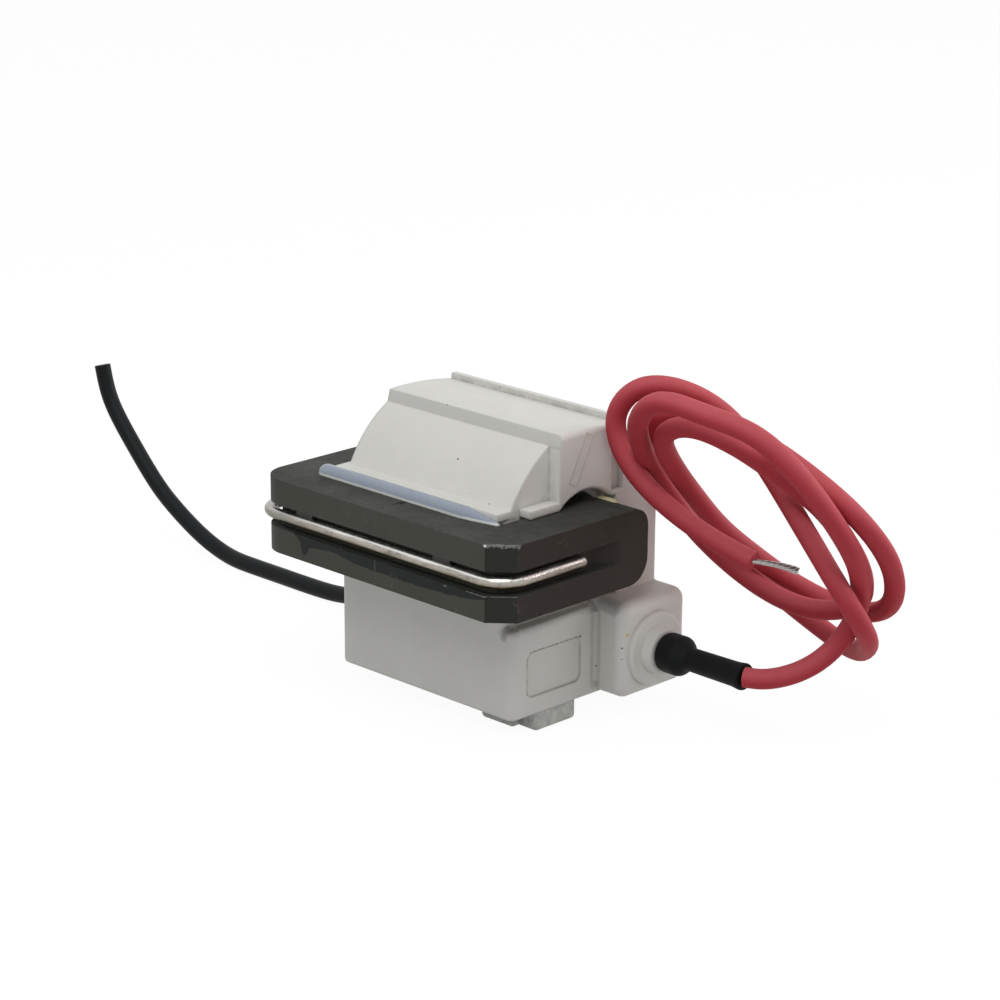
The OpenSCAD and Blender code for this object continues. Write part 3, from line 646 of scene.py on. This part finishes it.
def winding(name, colour):
    """Enamelled wire wound about the X axis."""
    material, tree, shader, coords = finish(name, 0.3, 0.6)
    turns = put(tree, "TexWave", {"Vector": coords, "Scale": 900.0, "Distortion": 0.4},
                wave_type="BANDS", bands_direction="X").outputs["Fac"]
    base = tint(tree, turns, [c * 0.45 for c in colour], colour)
    tree.links.new(base, shader.inputs["Base Color"])
    relief(tree, shader, turns, 0.12 * MM, 0.8)
    return material


def lead_rubber(name, colour, roughness, highlight_colour, gloss):
    """Lead insulation with a painted highlight on its upward sides and faint rubbed patches."""
    material, tree, shader, coords = finish(name, roughness)
    shader.inputs["Specular IOR Level"].default_value = gloss
    cloud = place(tree, mottle, {"Vector": coords, "Scale": 140.0})["Value"]
    # Painted highlight: the upward sides take the paler colour, as where light falls on them
    facing = put(tree, "SeparateXYZ", {0: put(tree, "TexCoord").outputs["Normal"]}).outputs[2]
    upper_highlight = calc(tree, "MULTIPLY", ramp(tree, facing, -0.35, 0.85),
                 ramp(tree, cloud, 0.3, 0.6, 0.75, 1.0))
    base = tint(tree, upper_highlight, colour, highlight_colour)
    tree.links.new(base, shader.inputs["Base Color"])
    tree.links.new(ramp(tree, cloud, 0.3, 0.7, roughness - 0.06, roughness + 0.08),
                   shader.inputs["Roughness"])
    relief(tree, shader, noise(tree, coords, 1100.0, 3), 0.015 * MM, 0.4)
    return material


def dress(node, material):
    """Gives a CAD node its finish."""
    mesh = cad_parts[node].data
    mesh.materials.clear()
    mesh.materials.append(material)


def smooth(route, start):
    """A fine smooth line of points from the stations of a route."""
    line = [start + Vector(station) * MM for station in route]
    for _ in range(FINER_ROUNDS):
        finer = []
        last = len(line) - 1
        for i in range(last):
            before = line[i - 1] if i else 2 * line[0] - line[1]
            after = line[i + 2] if i + 2 <= last else 2 * line[last] - line[last - 1]
            finer += [line[i], (line[i] + line[i + 1]) * 9 / 16 - (before + after) / 16]
        line = finer + [line[last]]
    for _ in range(EASING_ROUNDS):
        inner = [(a + 2 * b + c) / 4 for a, b, c in zip(line, line[1:], line[2:])]
        line = [line[0], *inner, line[-1]]
    return line


def round_lines(name, lines, diameter, material, sides=7):
    """Round bars along lines of points, as one curve object."""
    curve = bpy.data.curves.new(name, "CURVE")
    curve.dimensions = "3D"
    curve.bevel_depth = diameter / 2
    curve.bevel_resolution = sides
    curve.use_fill_caps = True
    for line in lines:
        spline = curve.splines.new("POLY")
        spline.points.add(len(line) - 1)
        spline.use_smooth = True
        for point, station in zip(spline.points, line):
            point.co = (*station, 1)
    curve.materials.append(material)
    piece = bpy.data.objects.new(name, curve)
    bpy.context.scene.collection.objects.link(piece)
    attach(piece, "root")
    return piece


def twisted(line, count, start_radius, end_radius, turns):
    """Lines of wires wound about a centre line, opening towards its end."""
    wires = [list(line) for _ in range(count)]
    last = len(line) - 1
    for i, point in enumerate(line):
        ahead = (line[min(i + 1, last)] - line[max(i - 1, 0)]).normalized()
        across = ahead.cross(Vector((0, 0, 1))).normalized()
        up = across.cross(ahead)
        radius = start_radius + (end_radius - start_radius) * i / last
        for k in range(1, count):
            angle = 2 * pi * (k / (count - 1) + turns * i / last)
            wires[k][i] = point + radius * (cos(angle) * across + sin(angle) * up)
    return wires


class CameraOperator(bpy.types.Operator):
    """Puts the camera where the part is seen from the front right"""

    bl_idname = "flyback.camera"
    bl_label = "Camera"

    def execute(self, context):
        stage = context.scene.flyback_stage
        data = bpy.data.cameras.new("camera")
        data.sensor_width = SENSOR_WIDTH
        data.sensor_fit = "HORIZONTAL"
        data.lens = stage.lens
        data.clip_start = CLIP_START
        camera = bpy.data.objects.new("camera", data)
        turn = Euler((pi / 2 - stage.elevation, 0, stage.azimuth)).to_matrix()
        turn = turn @ Matrix.Rotation(stage.roll, 3, "Z")
        camera.matrix_world = Matrix.Translation(stage.place) @ turn.to_4x4()
        context.scene.collection.objects.link(camera)
        context.scene.camera = camera
        return {"FINISHED"}


class LeadsOperator(bpy.types.Operator):
    """Lays the red high-voltage lead, its bare end and the black return lead"""

    bl_idname = "flyback.leads"
    bl_label = "Leads"

    def execute(self, context):
        leads = context.scene.flyback_leads
        red = lead_rubber("lead_red", leads.red, 0.6, leads.upper_highlight, 0.1)
        hv = round_lines("hv_lead_dressed", [smooth(HV_ROUTE, HV_EXIT)], leads.hv_diameter, red)
        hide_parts("hv_lead")
        # The return lead gets a painted highlight on its upward sides, 2.2 times its own black
        black = lead_rubber("lead_black", leads.black, 0.45, [c * 2.2 for c in leads.black], 0.09)
        back = round_lines("return_lead_dressed", [smooth(RETURN_ROUTE, RETURN_EXIT)],
                           leads.return_diameter, black)
        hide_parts("return_lead")
        # The sleeve gets a fainter painted highlight on its upward sides
        shrunk = lead_rubber("sleeve_black", leads.black, 0.6, [c * 1.4 for c in leads.black], 0.1)
        dress("sleeve", shrunk)
        wires = twisted(smooth(STRAND_ROUTE, HV_EXIT), WIRE_COUNT, WIRES_START, WIRES_END, WIRE_TURNS)
        tin = plain("tinned_strand", linear(158, 157, 154), 0.25, 1.0)
        strand = round_lines("hv_strand_twisted", wires, WIRE_DIAMETER, tin, 2)
        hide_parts("hv_strand")
        return {"FINISHED"}


class BodyOperator(bpy.types.Operator):
    """Finishes the case, the core, the clip and what shows of the resin"""

    bl_idname = "flyback.body"
    bl_label = "Body"

    def execute(self, context):
        dress("case_shell", case_plastic())
        stone = ferrite()
        dress("core_right", stone)
        dress("core_left", stone)
        dress("clip", clip_steel())
        grey = plain("shim_grey", linear(46, 45, 42), 0.6)
        dress("shim_left", grey)
        dress("shim_right", grey)
        dress("glue_bead", silicone_bead())
        dress("adhesive", plain("adhesive", linear(198, 190, 150), 0.35))
        dress("potting", plain("cast_resin", linear(186, 187, 182), 0.55, spread=0.22, scale=900.0,
                               grain=2600.0, depth=0.12))
        return {"FINISHED"}


class InsideOperator(bpy.types.Operator):
    """Finishes the pieces inside the case"""

    bl_idname = "flyback.inside"
    bl_label = "Inside"

    def execute(self, context):
        dress("gap_film_front", bpy.data.materials["ferrite"])
        dress("gap_film_round", plain("gap_film", linear(58, 56, 50), 0.5))
        dress("primary_bobbin", plain("bobbin_green", linear(60, 98, 84), 0.45))
        dress("secondary_bobbin", plain("bobbin_cream", linear(214, 212, 196), 0.45))
        dress("primary_winding", winding("primary_wire", linear(196, 118, 66)))
        dress("secondary_winding", winding("secondary_wire", linear(168, 88, 50)))
        dark = plain("diode_body", linear(40, 40, 42), 0.4)
        dress("diode_a", dark)
        dress("diode_b", dark)
        dress("hv_contact", plain("brass", linear(206, 172, 96), 0.3, 1.0))
        tin = plain("pin_tin", linear(196, 195, 190), 0.3, 1.0)
        for number in range(1, PIN_COUNT + 1):
            dress(f"pin_{number}", tin)
        return {"FINISHED"}


class StageOperator(bpy.types.Operator):
    """Adds the pale floor, the lamps and the even light"""

    bl_idname = "flyback.stage"
    bl_label = "Stage"

    def execute(self, context):
        stage = context.scene.flyback_stage
        context.scene.view_settings.view_transform = "Standard"
        mesh = bpy.data.meshes.new("floor")
        sheet = bmesh.new()
        bmesh.ops.create_grid(sheet, x_segments=1, y_segments=1, size=FLOOR_HALF)
        sheet.to_mesh(mesh)
        sheet.free()
        floor = bpy.data.objects.new("floor", mesh)
        context.scene.collection.objects.link(floor)
        mesh.materials.append(self.floor_finish())
        self.light_world(context.scene, stage.ambient)
        self.add_panel(context.scene, "front_panel", FRONT_LAMP, stage.key_power)
        self.add_panel(context.scene, "back_panel", BACK_LAMP, stage.fill_power)
        return {"FINISHED"}

    def add_panel(self, scene, name, location, power):
        """A square soft lamp that faces the part."""
        lamp = bpy.data.lights.new(name, "AREA")
        lamp.shape = "SQUARE"
        lamp.size = LAMP_SIZE
        lamp.energy = power
        panel = bpy.data.objects.new(name, lamp)
        panel.location = location
        aim = PART_MIDDLE - panel.location
        panel.rotation_euler = aim.to_track_quat("-Z", "Y").to_euler()
        scene.collection.objects.link(panel)

    def floor_finish(self):
        """Pale matt floor that shows white and keeps a faint shadow."""
        material = bpy.data.materials.new("floor_pale")
        material.use_nodes = True
        tree = material.node_tree
        tree.nodes.clear()
        matt = put(tree, "BsdfDiffuse", {"Color": (0.8, 0.8, 0.8, 1)})
        white = put(tree, "Emission", {"Color": (1, 1, 1, 1), "Strength": FLOOR_WHITE})
        path = put(tree, "LightPath")
        seen = calc(tree, "MAXIMUM", path.outputs["Is Camera Ray"], path.outputs["Is Glossy Ray"])
        seen = calc(tree, "MAXIMUM", seen, path.outputs["Is Transmission Ray"])
        share = calc(tree, "MULTIPLY", seen, FLOOR_SHARE)
        mix = put(tree, "MixShader", {0: share, 1: matt.outputs[0], 2: white.outputs[0]})
        put(tree, "OutputMaterial", {"Surface": mix.outputs[0]})
        return material

    def light_world(self, scene, strength):
        """Even light from all round, white where the camera sees it."""
        world = bpy.data.worlds.new("studio")
        world.use_nodes = True
        tree = world.node_tree
        tree.nodes.clear()
        path = put(tree, "LightPath")
        seen = calc(tree, "MAXIMUM", path.outputs["Is Camera Ray"], path.outputs["Is Glossy Ray"])
        seen = calc(tree, "MAXIMUM", seen, path.outputs["Is Transmission Ray"])
        level = put(tree, "MapRange", {"Value": seen, "To Min": strength, "To Max": 1.0}).outputs[0]
        back = put(tree, "Background", {"Color": (1, 1, 1, 1), "Strength": level})
        put(tree, "OutputWorld", {"Surface": back.outputs[0]})
        scene.world = world


class FlybackPanel(bpy.types.Panel):
    """Lists the settings and the steps in the sidebar"""

    bl_idname = "VIEW3D_PT_flyback"
    bl_label = "Flyback transformer"
    bl_space_type = "VIEW_3D"
    bl_region_type = "UI"
    bl_category = "Flyback"

    def draw(self, context):
        layout = self.layout
        scene = context.scene
        for settings in (scene.flyback_leads, scene.flyback_body, scene.flyback_stage):
            box = layout.box()
            for name in settings.__annotations__:
                box.prop(settings, name)
        for step in STEPS:
            layout.operator(step.bl_idname)


STEPS = (CameraOperator, LeadsOperator, BodyOperator, InsideOperator, StageOperator)
CLASSES = (LeadSettings, BodySettings, StageSettings, *STEPS, FlybackPanel)


def register():
    for cls in CLASSES:
        bpy.utils.register_class(cls)
    bpy.types.Scene.flyback_leads = bpy.props.PointerProperty(type=LeadSettings)
    bpy.types.Scene.flyback_body = bpy.props.PointerProperty(type=BodySettings)
    bpy.types.Scene.flyback_stage = bpy.props.PointerProperty(type=StageSettings)


def unregister():
    del bpy.types.Scene.flyback_leads
    del bpy.types.Scene.flyback_body
    del bpy.types.Scene.flyback_stage
    for cls in reversed(CLASSES):
        bpy.utils.unregister_class(cls)


def main():
    register()
    bpy.ops.flyback.camera()
    bpy.ops.flyback.leads()
    bpy.ops.flyback.body()
    bpy.ops.flyback.inside()
    bpy.ops.flyback.stage()


if __name__ == "__main__":
    main()
